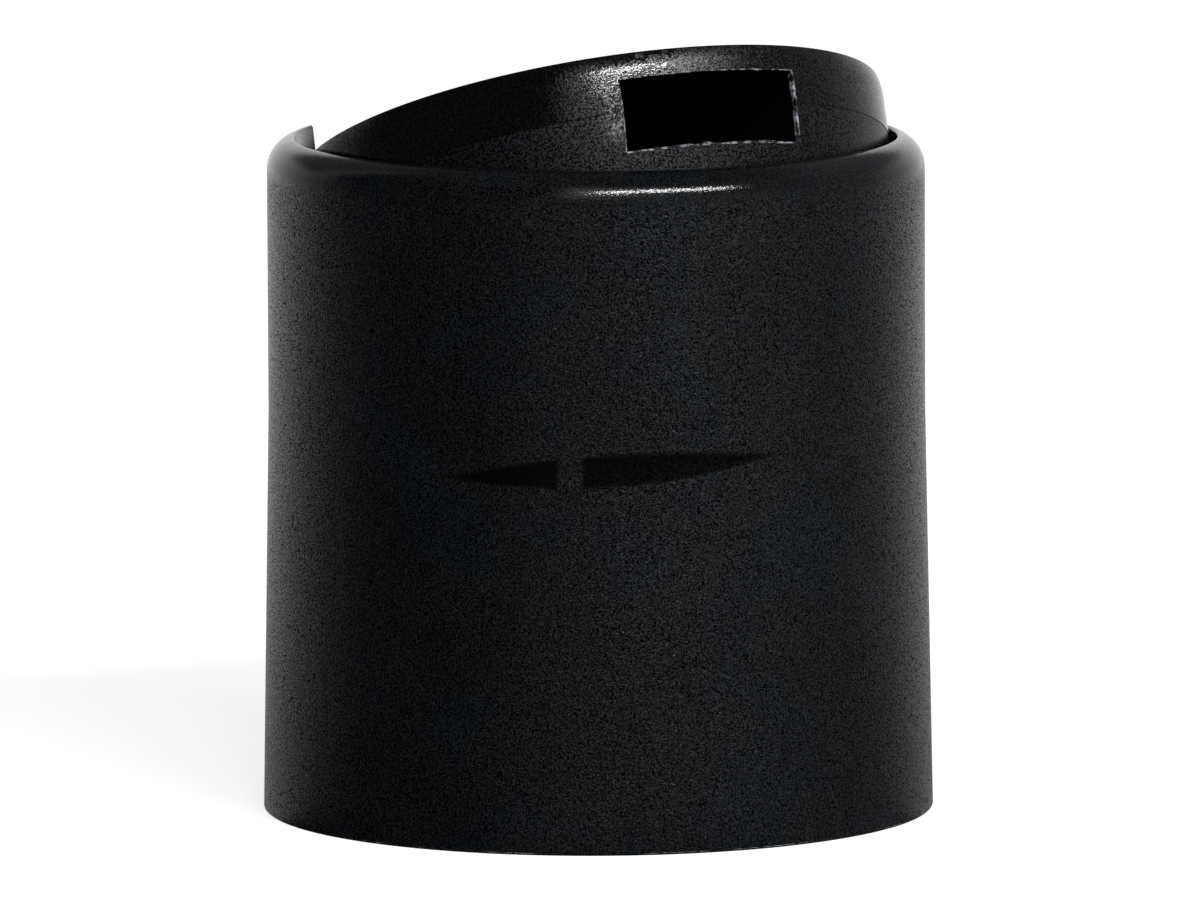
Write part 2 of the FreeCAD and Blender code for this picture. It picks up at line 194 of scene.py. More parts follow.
class DiscCapDiscSizes(bpy.types.PropertyGroup):
    radius: length("Radius", "Outside of the flange", 12.15)
    top: length("Top", "Top face above the pivot", 1.4)
    plate: length("Plate", "Thickness of the top plate", 1.1)
    flange: length("Flange Height", "Top face to the flange's lower edge", 2.45)
    ledge: length("Ledge", "Flange to the lower wall", 0.03)
    wall: length("Wall", "Thickness of the lower wall under the flange", 2.0)
    depth: length("Depth", "Top face to the lower wall's end", 6.0)
    slant: length("Slant", "How far the lower wall curves in at its end", 0.75)
    swell: length("Swell", "How far the flange stands out where its top starts to lean", 0.05)
    lean_height: length("Lean Height", "Top of the flange that leans back", 0.75)
    lean_radius: length("Lean Radius", "Curve of the part that leans back", 3.0)
    edge_round: length("Edge Rounding", "Top edge of the flange", 0.08)
    small_round: length("Small Rounding", "The other edges", 0.15)
    dish_back: length("Dish Place", "Thumb dish behind the disc's centre", 5.6)
    dish_radius: length("Dish Radius", "Outside of the thumb dish", 4.4)
    dish_side: length("Dish Side", "Width of its slanted side", 1.2)
    dish_depth: length("Dish Depth", "Depth of the thumb dish", 0.35)
    ball_radius: length("Ball Radius", "The valve's ball", 4.0)
    slot_width: length("Slot Width", "Dispensing slot", 7.7)
    slot_height: length("Slot Height", "Dispensing slot", 2.95)
    throat_width: length("Throat Width", "Channel inside the ball", 3.6)
    throat_height: length("Throat Height", "Channel inside the ball", 1.9)
    throat_back: length("Throat End", "Behind the pivot", 2.3)
    duct_start: length("Duct Start", "Ahead of the pivot, inside the ball", 1.4)
    duct_wall: length("Duct Wall", "Round the channel", 0.8)
    inlet_angle: angle("Inlet Angle", "From straight down towards the rear, when shut", 52.5)
    inlet_width: length("Inlet Width", "Opening in the ball", 3.2)
    inlet_height: length("Inlet Height", "Opening in the ball", 1.25)
    stud_radius: length("Stud Radius", "Pivot studs", 0.8)
    stud_tip: length("Stud Reach", "Axis to the end of each stud", 12.95)
    stud_bevel: length("Stud Bevel", "End of each stud", 0.25)
    turns: IntProperty(name="Segments", description="Faces round the axis", default=288, min=48)


class DiscCapFlashSizes(bpy.types.PropertyGroup):
    slot_flash: length("Slot Flash", "Size of the tears in the ragged flash round the slot", 0.4)
    slot_grain: length("Slot Flash Grain", "Length of one tear along the slot's edge", 0.3)
    base_flash: length("Base Flash", "Size of the flash on the base's outer edge", 0.07)
    base_grain: length("Base Flash Grain", "Length of one patch of it", 1.6)
    seed: FloatProperty(name="Seed", description="Moves the pattern of the flash", default=4.0)


class DiscCapFinish(bpy.types.PropertyGroup):
    body_colour: colour("Body Colour", "Plastic of the cap body", (0.0060, 0.0062, 0.0068))
    disc_colour: colour("Disc Colour", "Plastic of the disc", (0.0044, 0.0045, 0.0050))
    flash_colour: colour("Flash Colour", "Thin, stretched plastic of the flash", (0.42, 0.45, 0.50))
    floor_colour: colour("Floor Colour", "The studio floor", (0.7, 0.7, 0.7))
    body_gloss: share("Body Roughness", "Textured skirt", 0.27)
    shoulder_gloss: share("Shoulder Roughness", "Polished shoulder and rim", 0.11)
    sink_gloss: share("Sink Roughness", "Bottom of the sink mark", 0.16)
    flange_gloss: share("Flange Roughness", "Upper wall of the disc", 0.10)
    wall_gloss: share("Lower Wall Roughness", "Wall of the disc under the flange", 0.34)
    grain: length("Grain", "Size of the moulded surface's grain", 0.075)
    body_relief: length("Body Relief", "Depth of the grain on the skirt", 0.024)
    disc_relief: length("Disc Relief", "Depth of the grain on the disc", 0.006)


# Outlines and meshes

def arc(centre, radius, start, end, steps):
    """Points on an arc, from one angle to another."""
    return [(centre[0] + radius * math.cos(start + (end - start) * step / steps),
             centre[1] + radius * math.sin(start + (end - start) * step / steps))
            for step in range(steps + 1)]


def rounded(corners, most_turn=math.radians(15), steps=None):
    """A closed outline. A corner is (across, up), and may name the radius that rounds it."""
    points = []
    for index, corner in enumerate(corners):
        here = Vector(corner[:2])
        if len(corner) == 2:
            points.append(here)
            continue
        back = (Vector(corners[index - 1][:2]) - here).normalized()
        onward = (Vector(corners[(index + 1) % len(corners)][:2]) - here).normalized()
        half = back.angle(onward) / 2
        centre = here + (back + onward).normalized() * corner[2] / math.sin(half)
        reach = corner[2] / math.tan(half)
        first = here + back * reach - centre
        last = here + onward * reach - centre
        start = math.atan2(first.y, first.x)
        turn = math.remainder(math.atan2(last.y, last.x) - start, math.tau)
        count = steps or max(2, math.ceil(abs(turn) / most_turn))
        points.extend(Vector(point) for point in arc(centre, corner[2], start, start + turn, count))
    return points


def add_object(name, build):
    """A new object whose mesh the function fills."""
    grid = bmesh.new()
    build(grid)
    bmesh.ops.recalc_face_normals(grid, faces=grid.faces)
    mesh = bpy.data.meshes.new(name)
    grid.to_mesh(mesh)
    grid.free()
    piece = bpy.data.objects.new(name, mesh)
    bpy.context.scene.collection.objects.link(piece)
    return piece


def lathe(name, outline, turns, centre=(0, 0), span=None):
    """The closed outline (radius, height) turned about a vertical axis, fully or over a span about +Y."""
    def build(grid):
        full = span is None
        count = turns if full else turns + 1
        sweep = math.tau if full else span
        first = math.radians(90) - sweep / 2
        rings = []
        for point in outline:
            if point[0] < 1e-9:
                rings.append([grid.verts.new((centre[0], centre[1], point[1]))] * count)
                continue
            angles = [first + sweep * step / turns for step in range(count)]
            rings.append([grid.verts.new((centre[0] + point[0] * math.cos(turn),
                                          centre[1] + point[0] * math.sin(turn), point[1]))
                          for turn in angles])
        for here, after in zip(rings, rings[1:] + rings[:1]):
            for step in range(turns):
                onward = (step + 1) % count
                corners = [here[step], here[onward], after[onward], after[step]]
                corners = list(dict.fromkeys(corners))
                if len(corners) > 2:
                    grid.faces.new(corners)
        if not full:
            grid.faces.new([ring[0] for ring in rings])
            grid.faces.new([ring[-1] for ring in rings])
    return add_object(name, build)


def skin(grid, sections, closed=False):
    """Faces through sections that all have the same number of points: a ring, or a solid with two ends."""
    rings = [[grid.verts.new(point) for point in section] for section in sections]
    pairs = list(zip(rings, rings[1:]))
    if closed:
        pairs.append((rings[-1], rings[0]))
    for here, after in pairs:
        for corner in range(len(here)):
            onward = (corner + 1) % len(here)
            grid.faces.new([here[corner], here[onward], after[onward], after[corner]])
    if not closed:
        grid.faces.new(rings[0])
        grid.faces.new(rings[-1])


def loft(name, sections):
    """A closed solid through the sections."""
    return add_object(name, lambda grid: skin(grid, sections))


def rectangle(half_width, low, high, depth):
    """The corners of a rectangle that faces along Y."""
    return [(-half_width, depth, low), (half_width, depth, low),
            (half_width, depth, high), (-half_width, depth, high)]


def half_ball(height, radius, steps):
    """The outline of a ball's lower half, from the axis to its widest."""
    quarter = arc((0, height), radius, math.radians(-90), 0, steps)
    return [(max(point[0], 0), point[1]) for point in quarter]


def combine(piece, tool, operation):
    """Adds the tool's solid to the piece, or cuts it away, and removes the tool."""
    modifier = piece.modifiers.new(operation.title(), "BOOLEAN")
    modifier.operation = operation
    modifier.solver = "EXACT"
    modifier.object = tool
    settled = piece.evaluated_get(bpy.context.evaluated_depsgraph_get())
    mesh = bpy.data.meshes.new_from_object(settled)
    piece.modifiers.clear()
    before = piece.data
    piece.data = mesh
    mesh.name = piece.name
    bpy.data.meshes.remove(before)
    bpy.data.meshes.remove(tool.data)


def broad_faces(grid, least_area=25e-6, turn=math.radians(0.2)):
    """The faces of every flat patch that is larger than the area."""
    broad = set()
    seen = set()
    for first in grid.faces:
        if first in seen:
            continue
        patch = [first]
        seen.add(first)
        for face in patch:
            for edge in face.edges:
                for other in edge.link_faces:
                    if other not in seen and other.normal.angle(first.normal, 1.0) < turn:
                        seen.add(other)
                        patch.append(other)
        if sum(face.calc_area() for face in patch) > least_area:
            broad.update(patch)
    return broad


def smooth(piece, sharp=math.radians(32), sharp_at_flat=math.radians(4)):
    """Smooth shading, broken at the sharper edges and all round the broad flat faces."""
    grid = bmesh.new()
    grid.from_mesh(piece.data)
    bmesh.ops.remove_doubles(grid, verts=grid.verts, dist=MERGE_DISTANCE)
    bmesh.ops.dissolve_degenerate(grid, edges=grid.edges, dist=MERGE_DISTANCE)
    grid.normal_update()
    for face in grid.faces:
        face.smooth = True
    broad = broad_faces(grid)
    for edge in grid.edges:
        limit = sharp_at_flat if broad.intersection(edge.link_faces) else sharp
        edge.smooth = edge.calc_face_angle(0) < limit
    grid.to_mesh(piece.data)
    grid.free()


# Finishes

def add_node(tree, kind, settings=None, **inputs):
    """A shader node. An input has its name, or i and its number, and takes a value or a node's socket."""
    made = tree.nodes.new(kind)
    for key, value in (settings or {}).items():
        setattr(made, key, value)
    for key, value in inputs.items():
        numbered = key[0] == "i" and key[1:].isdigit()
        socket = made.inputs[int(key[1:]) if numbered else key]
        if isinstance(value, bpy.types.NodeSocket):
            tree.links.new(value, socket)
        else:
            socket.default_value = value
    return made


def new_material(name):
    """An empty material, its node tree, and the place in the object that it is worked out from."""
    material = bpy.data.materials.new(name)
    material.use_nodes = True
    tree = material.node_tree
    tree.nodes.clear()
    return material, tree, add_node(tree, "ShaderNodeTexCoord").outputs["Object"]


def noise_at(tree, place, size, detail=2.0, rough=0.5):
    """Noise whose features are about the given size across."""
    return add_node(tree, "ShaderNodeTexNoise", Vector=place, Scale=1 / size, Detail=detail,
                    Roughness=rough).outputs[0]


def ease(tree, value, low, high, to_low=0.0, to_high=1.0, kind="SMOOTHSTEP"):
    """Takes low to to_low and high to to_high, with soft ends."""
    return add_node(tree, "ShaderNodeMapRange", {"interpolation_type": kind}, i0=value, i1=low, i2=high,
                    i3=to_low, i4=to_high).outputs[0]


def even(tree, value, low, high, to_low=0.0, to_high=1.0):
    """Takes low to to_low and high to to_high, in a straight line."""
    return ease(tree, value, low, high, to_low, to_high, "LINEAR")


def calculate(tree, operation, first, second=0.0):
    """One step of arithmetic on one or two values, each a number or a socket."""
    return add_node(tree, "ShaderNodeMath", {"operation": operation}, i0=first, i1=second).outputs[0]


def times(tree, *values):
    """All the values multiplied together."""
    product = values[0]
    for value in values[1:]:
        product = calculate(tree, "MULTIPLY", product, value)
    return product


def minus(tree, first, second):
    """The first value less the second."""
    return calculate(tree, "SUBTRACT", first, second)


def inverse(tree, mask):
    """One where the mask is nothing, and nothing where it is one."""
    return minus(tree, 1.0, mask)


def vector_value(tree, operation, first, second=(0, 0, 0)):
    """A number worked out from one or two vectors."""
    return add_node(tree, "ShaderNodeVectorMath", {"operation": operation}, i0=first,
                    i1=second).outputs["Value"]


def blend(tree, mask, first, second):
    """Mixes two colours, each a triple or a socket."""
    ends = [(*end, 1) if isinstance(end, tuple) else end for end in (first, second)]
    return add_node(tree, "ShaderNodeMix", {"data_type": "RGBA"}, i0=mask, i6=ends[0],
                    i7=ends[1]).outputs[2]


def blend_value(tree, mask, first, second):
    """Mixes two values, each a number or a socket."""
    return add_node(tree, "ShaderNodeMix", {"data_type": "FLOAT"}, i0=mask, i2=first, i3=second).outputs[0]


def band(tree, value, low, high, soft):
    """One between the two ends, fading to nothing over the soft width outside them."""
    return times(tree, ease(tree, value, low - soft, low), ease(tree, value, high, high + soft, 1.0, 0.0))


def dim(tone, factor):
    """The colour times a factor."""
    return tuple(value * factor for value in tone)


def plastic_colour(tree, place, base, grain):
    """The plastic's colour: speckled by the grain, cooler in patches, clouded, with specks of dust."""
    light = tuple(value * 2.6 + 0.0006 for value in base)
    cool = tuple(value * cast for value, cast in zip(light, COOL_CAST))
    patches = ease(tree, noise_at(tree, place, 4.0 * MM, 2), 0.46, 0.58, 0.0, 0.8)
    speckle = even(tree, noise_at(tree, place, grain, 0), 0.36, 0.68)
    clouds = ease(tree, noise_at(tree, place, 3.0 * MM, 3), 0.35, 0.7, 0.75, 1.0)
    tone = blend(tree, times(tree, speckle, clouds), dim(base, 0.1), blend(tree, patches, light, cool))
    dust = ease(tree, noise_at(tree, place, 0.16 * MM, 1), 0.78, 0.83, 0.0, 0.3)
    return blend(tree, dust, tone, DUST_COLOUR)


def finish_plastic(tree, tone, roughness, heights, shine=0.5):
    """The surface: colour, roughness, shine, and one bump for each (height, distance)."""
    normal = None
    for height, distance in heights:
        inputs = {"Height": height, "Distance": distance, "Strength": 1.0}
        if normal:
            inputs["Normal"] = normal
        normal = add_node(tree, "ShaderNodeBump", **inputs).outputs[0]
    looks = {"Base Color": tone, "Roughness": roughness, "Normal": normal, "Specular IOR Level": shine}
    surface = add_node(tree, "ShaderNodeBsdfPrincipled", IOR=PLASTIC_IOR, **looks)
    add_node(tree, "ShaderNodeOutputMaterial", Surface=surface.outputs[0])


def sink_mask(tree, place, sizes):
    """One in the sink mark, nothing outside it and in the streak that crosses it."""
    half_streak = math.radians(1.8)
    half_rise = sizes.sink_rise / 2
    x, y, up = add_node(tree, "ShaderNodeSeparateXYZ", Vector=place).outputs
    round_axis = calculate(tree, "ARCTAN2", x, times(tree, y, -1.0))
    share_along = even(tree, round_axis, sizes.sink_start, sizes.sink_end, -1.0)
    bulge = inverse(tree, calculate(tree, "POWER", calculate(tree, "ABSOLUTE", share_along), 2.0))
    half_width = times(tree, bulge, sizes.sink_width / 2)
    line = even(tree, share_along, -1.0, 1.0, sizes.sink_height - half_rise, sizes.sink_height + half_rise)
    across = calculate(tree, "ABSOLUTE", minus(tree, up, line))
    inside = ease(tree, minus(tree, half_width, across), -0.05 * MM, 0.2 * MM)
    streak = band(tree, round_axis, sizes.sink_streak - half_streak, sizes.sink_streak + half_streak,
                  math.radians(0.8))
    return times(tree, inside, inverse(tree, streak))


def make_body_plastic(name, scene):
    """Spark-eroded texture on the skirt, smooth in the sink mark and painted darker there as shade,
    polished on the shoulder and the rim.
    """
    finish = scene.disc_cap_finish
    sizes = scene.disc_cap_body
    material, tree, place = new_material(name)
    up = add_node(tree, "ShaderNodeSeparateXYZ", Vector=place).outputs[2]
    shoulder = sizes.height - sizes.shoulder_round
    polish = ease(tree, up, shoulder - 0.4 * MM, shoulder + 0.5 * MM)
    sunk = sink_mask(tree, place, sizes)

    grain = noise_at(tree, place, finish.grain, 1, 0.6)
    satin = ease(tree, grain, NOISE_LOW, NOISE_HIGH, finish.body_gloss - 0.05, finish.body_gloss + 0.06)
    satin = blend_value(tree, sunk, satin, finish.sink_gloss)
    wear = noise_at(tree, place, 1.3 * MM, 4, 0.6)
    gloss = ease(tree, wear, NOISE_LOW, 0.8, finish.shoulder_gloss - 0.02, finish.shoulder_gloss + 0.05)
    rough = blend_value(tree, polish, satin, gloss)

    pits = even(tree, noise_at(tree, place, finish.grain * 0.9, 0), 0.36, 0.66, 0.0, 1.05)
    shine = blend_value(tree, times(tree, polish, 0.7), pits, 0.5)
    shine = times(tree, shine, blend_value(tree, sunk, 1.0, 0.28))

    relief = times(tree, blend_value(tree, polish, 1.0, 0.25), blend_value(tree, sunk, 1.0, 0.6))
    height = times(tree, grain, relief)
    waves = noise_at(tree, place, 4.5 * MM, 1)
    tone = plastic_colour(tree, place, finish.body_colour, finish.grain)
    # The sink mark's colour is painted darker: painted shade for the dark reflection in the hollow
    tone = blend(tree, times(tree, sunk, 0.9), tone, dim(finish.body_colour, 0.2))
    finish_plastic(tree, tone, rough, [(waves, 0.02 * MM), (height, finish.body_relief)], shine)
    return material


def make_disc_plastic(name, scene):
    """Draw lines and a scuffed strip on the flange, which is painted darker as shade; a painted highlight
    on the torn plastic beside the slot; rougher elsewhere.
    """
    finish = scene.disc_cap_finish
    sizes = scene.disc_cap_disc
    material, tree, place = new_material(name)
    level = add_node(tree, "ShaderNodeMapping", {"vector_type": "TEXTURE"}, Vector=place,
                     Location=tuple(PIVOT), Rotation=(-OPEN_ANGLE, 0, 0)).outputs[0]
    x, y, up = add_node(tree, "ShaderNodeSeparateXYZ", Vector=level).outputs

    # Where each finish lies: the lower wall, the front, the faces inside the flange, the scuffed strip
    flange_low = sizes.top - sizes.flange
    lower = ease(tree, up, flange_low - 0.1 * MM, flange_low + 0.05 * MM, 1.0, 0.0)
    front = times(tree, ease(tree, y, -9 * MM, -10 * MM),
                  ease(tree, up, sizes.top - 0.06 * MM, sizes.top, 1.0, 0.0))
    from_axis = add_node(tree, "ShaderNodeCombineXYZ", X=x, Y=calculate(tree, "ADD", y, PIVOT.y)).outputs[0]
    inner = ease(tree, vector_value(tree, "LENGTH", from_axis), sizes.radius - 0.5 * MM,
                 sizes.radius - 0.25 * MM, 1.0, 0.0)
    ragged = ease(tree, noise_at(tree, place, 0.3 * MM, 1), 0.4, 0.6, -0.9 * MM, 0.9 * MM)
    scuffed = ease(tree, calculate(tree, "ADD", x, ragged), SCUFF_START, SCUFF_START + 0.2 * MM)
    scuffed = times(tree, scuffed, ease(tree, x, 6 * MM, 8 * MM, 1.0, 0.0), front)
    rougher = calculate(tree, "MAXIMUM", scuffed, inner)

    drawn = add_node(tree, "ShaderNodeMapping", Vector=level, Scale=(1, 1, 0.04)).outputs[0]
    lean_low = sizes.top - sizes.lean_height
    lines = times(tree, noise_at(tree, drawn, 0.15 * MM, 1),
                  ease(tree, up, lean_low - 0.4 * MM, lean_low, 0.12, 1.0), inverse(tree, inner))
    grain = noise_at(tree, place, finish.grain, 2, 0.6)
    gloss = blend_value(tree, rougher, finish.flange_gloss, finish.wall_gloss)
    gloss = blend_value(tree, lower, gloss, finish.wall_gloss)
    rough = calculate(tree, "ADD", gloss, ease(tree, grain, NOISE_LOW, NOISE_HIGH, -0.04, 0.05))

    edge = sizes.slot_width / 2
    torn = ease(tree, noise_at(tree, place, finish.grain * 1.6, 2, 0.7), 0.5, 0.6)
    # Pale specks on the torn plastic left of the slot: a painted highlight
    slot_highlight_mask = times(tree, band(tree, x, -edge - 0.3 * MM, -edge + 0.2 * MM, 0.8 * MM),
                     band(tree, up, -1.7 * MM, -0.4 * MM, 0.8 * MM), front, torn)
    tone = plastic_colour(tree, place, finish.disc_colour, finish.grain)
    # The flange above the lower wall is painted darker: painted shade for the dark surroundings that it
    # mirrors
    tone = blend(tree, times(tree, inverse(tree, lower), 0.75), tone, dim(finish.disc_colour, 0.45))
    tone = blend(tree, slot_highlight_mask, tone, SLOT_HIGHLIGHT_COLOUR)
    waves = noise_at(tree, place, 3.5 * MM, 1)
    pits = even(tree, noise_at(tree, place, finish.grain, 0), 0.36, 0.66, 0.15, 0.95)
    heights = [(waves, 0.006 * MM), (lines, 0.007 * MM), (grain, finish.disc_relief)]
    finish_plastic(tree, tone, rough, heights, pits)
    return material


def make_flash_plastic(name, scene):
    """Thin torn plastic, paler where it was stretched."""
    pale = scene.disc_cap_finish.flash_colour
    material, tree, place = new_material(name)
    stretched = ease(tree, noise_at(tree, place, 0.35 * MM, 3, 0.6), 0.42, 0.6)
    tone = blend(tree, stretched, dim(pale, 0.05), tuple(pale))
    grain = noise_at(tree, place, 0.06 * MM, 2)
    rough = ease(tree, grain, NOISE_LOW, NOISE_HIGH, 0.3, 0.45)
    finish_plastic(tree, tone, rough, [(grain, 0.004 * MM)])
    return material


PLASTICS = {
    "body_plastic_satin": make_body_plastic,
    "disc_plastic_gloss": make_disc_plastic,
    "flash_plastic_white": make_flash_plastic,
}


def dress(piece, body, plastic):
    """Gives the piece its plastic, made on first use and the body that it moves with."""
    material = bpy.data.materials.get(plastic) or PLASTICS[plastic](plastic, bpy.context.scene)
    piece.data.materials.clear()
    piece.data.materials.append(material)
    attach(piece, body)


# Cap body

def deck_top(sizes):
    """Top of the deck above the base."""
    return sizes.neck_depth + sizes.deck_thickness


def deck_middle(sizes):
    """Halfway through the deck, where what stands on it starts."""
    return sizes.neck_depth + sizes.deck_thickness / 2


def recess_radius(sizes):
    """Wall of the recess that the disc tilts in."""
    return sizes.base_radius - sizes.taper - sizes.rim_width


def skirt_radius(sizes, height):
    """Outside of the skirt at a height, tapered up to the deck."""
    return sizes.base_radius - sizes.taper * min(1, height / deck_top(sizes))


def body_outline(sizes):
    """Half section of the skirt, shoulder, recess wall, deck and neck bore."""
    shoulder = sizes.height - sizes.shoulder_round
    recess = recess_radius(sizes)
    deck = deck_top(sizes)
    mouth = sizes.neck_radius + sizes.mouth_bevel
    sink_reach = sizes.sink_width + sizes.sink_rise
    sink_low = sizes.sink_height - sink_reach / 2
    sink_steps = 24
    heights = [1.5 * MM, 5 * MM, 10 * MM]
    heights += [sink_low + sink_reach * step / sink_steps for step in range(sink_steps + 1)]
    heights += [20 * MM, 24 * MM]
    top_radius = skirt_radius(sizes, shoulder)
    shoulder_arc = arc((top_radius - sizes.shoulder_round, shoulder), sizes.shoulder_round,
                       0, math.radians(70), 18)
    bead_side = sizes.bead_width / 2
    corners = [(mouth, 0, 0.08 * MM), (sizes.base_radius, 0, sizes.base_round)]
    corners += [(skirt_radius(sizes, height), height) for height in heights]
    corners += shoulder_arc
    corners += [
        (recess, sizes.height - 0.01 * MM, sizes.lip_round),
        (recess, deck, 0.25 * MM),
        (0, deck),
        (0, sizes.neck_depth),
        (sizes.bead_radius - bead_side, sizes.neck_depth),
        (sizes.bead_radius, sizes.neck_depth - sizes.bead_height, 0.12 * MM),
        (sizes.bead_radius + bead_side, sizes.neck_depth),
        (sizes.neck_radius, sizes.neck_depth, sizes.deck_round),
        (sizes.neck_radius, sizes.mouth_bevel, 0.2 * MM),
    ]
    return rounded(corners)


def press_sink(body, sizes):
    """The sink mark: a shallow hollow in the front of the skirt, where the deck's plastic shrank."""
    middle = (sizes.sink_start + sizes.sink_end) / 2
    reach = (sizes.sink_end - sizes.sink_start) / 2
    for vertex in body.data.vertices:
        x, y, z = vertex.co
        share_along = (math.atan2(x, -y) - middle) / reach
        bulge = 1 - share_along ** 2
        if bulge <= 0 or math.hypot(x, y) < sizes.neck_radius + 1 * MM:
            continue
        line = sizes.sink_height + sizes.sink_rise / 2 * share_along
        across = abs(z - line) / (sizes.sink_width / 2 * bulge)
        if across < 1:
            depth = sizes.sink_depth * (1 + math.cos(math.pi * across)) / 2 * bulge
            vertex.co -= Vector((x, y, 0)).normalized() * depth


def cut_notch(body, sizes):
    """The finger notch through the rear of the rim, with rounded lower corners."""
    lean = sizes.notch_depth * math.tan(sizes.notch_slant)
    floor = sizes.height - sizes.notch_depth
    above = sizes.height + sizes.notch_depth
    half = sizes.notch_width / 2
    outline = rounded([(-half + lean, floor, sizes.notch_round), (half - lean, floor, sizes.notch_round),
                       (half + lean, above), (-half - lean, above)])
    near = [(point[0], 0, point[1]) for point in outline]
    far = [(point[0], 2 * sizes.base_radius, point[1]) for point in outline]
    combine(body, loft("notch_cutter", [near, far]), "DIFFERENCE")


def cut_sockets(body, sizes):
    """The two sockets that hold the disc's studs."""
    reach = recess_radius(sizes) + sizes.socket_depth
    cutter = lathe("socket_cutter", [(0, -reach), (sizes.socket_radius, -reach),
                                     (sizes.socket_radius, reach), (0, reach)], 48)
    cutter.data.transform(Matrix.Translation(PIVOT) @ Matrix.Rotation(math.radians(90), 4, "Y"))
    combine(body, cutter, "DIFFERENCE")


def add_spout(body, sizes):
    """The spout that rises from the deck to the ball, its passage and its spherical seat."""
    turns = 96
    centre = (PIVOT.x, PIVOT.y)
    start = deck_middle(sizes)
    deck = deck_top(sizes)
    foot = 0.3 * MM
    outside = sizes.spout_bore + sizes.spout_wall
    lip = sizes.spout_bore + sizes.lip_wall
    seat = bpy.context.scene.disc_cap_disc.ball_radius + sizes.seat_gap
    lip_height = PIVOT.z - math.sqrt(seat ** 2 - lip ** 2)
    outline = rounded([(0, start), (outside + foot, start), (outside + foot, deck),
                       (outside, deck + foot, 0.4 * MM),
                       (outside, lip_height - sizes.spout_wall + sizes.lip_wall, 0.15 * MM),
                       (lip, lip_height), (0, lip_height)])
    combine(body, lathe("spout_core", outline, turns, centre), "UNION")
    low = sizes.neck_depth - 1 * MM
    bore = [(0, low), (sizes.spout_bore, low), (sizes.spout_bore, PIVOT.z), (0, PIVOT.z)]
    combine(body, lathe("bore_cutter", bore, turns, centre), "DIFFERENCE")
    ball = half_ball(PIVOT.z, seat, 24) + [(0, PIVOT.z)]
    combine(body, lathe("seat_cutter", ball, turns, centre), "DIFFERENCE")


def add_stop(body, sizes):
    """The sector that the rear of the open disc comes down on."""
    recess = recess_radius(sizes)
    inside = recess - sizes.stop_length
    outside = recess + sizes.rim_width / 2
    low = deck_middle(sizes)
    outline = rounded([(inside, low), (outside, low), (outside, sizes.stop_height),
                       (inside, sizes.stop_height, 0.15 * MM)])
    combine(body, lathe("stop_core", outline, 48, span=sizes.stop_span), "UNION")


class DISCCAP_OT_body(bpy.types.Operator):
    """Build the cap body: skirt, shoulder, rim, recess, deck, spout, stop and neck bore in one moulding"""
    bl_idname = "disc_cap.body"
    bl_label = "Cap Body"

    def execute(self, context):
        sizes = context.scene.disc_cap_body
        body = lathe("cap_body_moulding", body_outline(sizes), sizes.turns)
        press_sink(body, sizes)
        add_spout(body, sizes)
        add_stop(body, sizes)
        cut_sockets(body, sizes)
        cut_notch(body, sizes)
        smooth(body)
        dress(body, CAP_BODY, "body_plastic_satin")
        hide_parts(CAP_NODE)
        return {"FINISHED"}


class DISCCAP_OT_thread(bpy.types.Operator):
    """Build the right-hand thread in the neck bore, faded out at both ends"""
    bl_idname = "disc_cap.thread"
    bl_label = "Neck Thread"

    def execute(self, context):
        sizes = context.scene.disc_cap_thread
        root = context.scene.disc_cap_body.neck_radius + 0.05 * MM
        steps = round(sizes.turns * sizes.segments)
        sections = []
        for step in range(steps + 1):
            turn = math.tau * step / sizes.segments
            from_end = min(turn, math.tau * sizes.turns - turn) / sizes.run_out
            fade = max(0.04, math.sin(math.pi / 2 * min(1, from_end)))
            middle = sizes.start + sizes.pitch * turn / math.tau
            narrowed = 0.4 + 0.6 * fade
            half_root = sizes.root_width / 2 * narrowed
            half_crest = sizes.crest_width / 2 * narrowed
            crest = root - sizes.depth * fade
            edge = sizes.crest_round * fade
            outline = rounded([(root, middle - half_root), (crest, middle - half_crest, edge),
                               (crest, middle + half_crest, edge), (root, middle + half_root)], steps=4)
            sections.append([(point[0] * math.cos(turn), point[0] * math.sin(turn), point[1])
                             for point in outline])
        thread = loft("neck_thread", sections)
        smooth(thread)
        dress(thread, CAP_BODY, "body_plastic_satin")
        return {"FINISHED"}


# Disc, made shut about its pivot and then tilted open

def to_open(piece):
    """Tilts a piece from its place in the shut disc to the open disc at rest."""
    piece.data.transform(Matrix.Translation(PIVOT) @ Matrix.Rotation(-OPEN_ANGLE, 4, "X"))


def cavity_radius(sizes):
    """Inside of the lower wall."""
    return sizes.radius - sizes.ledge - sizes.wall


def wall_radius(sizes, height):
    """Outside of the disc at a height: the leaning top, the flange, then the lower wall that curves in."""
    flange_low = sizes.top - sizes.flange
    lean_low = sizes.top - sizes.lean_height
    if height >= flange_low:
        swollen = sizes.swell * min(1, (height - flange_low) / (lean_low - flange_low))
        leaning = max(0, height - lean_low)
        return sizes.radius + swollen - sizes.lean_radius + math.sqrt(sizes.lean_radius ** 2 - leaning ** 2)
    down = (flange_low - height) / (sizes.depth - sizes.flange)
    return sizes.radius - sizes.ledge - sizes.slant * (0.7 * down + 0.3 * down ** 2)


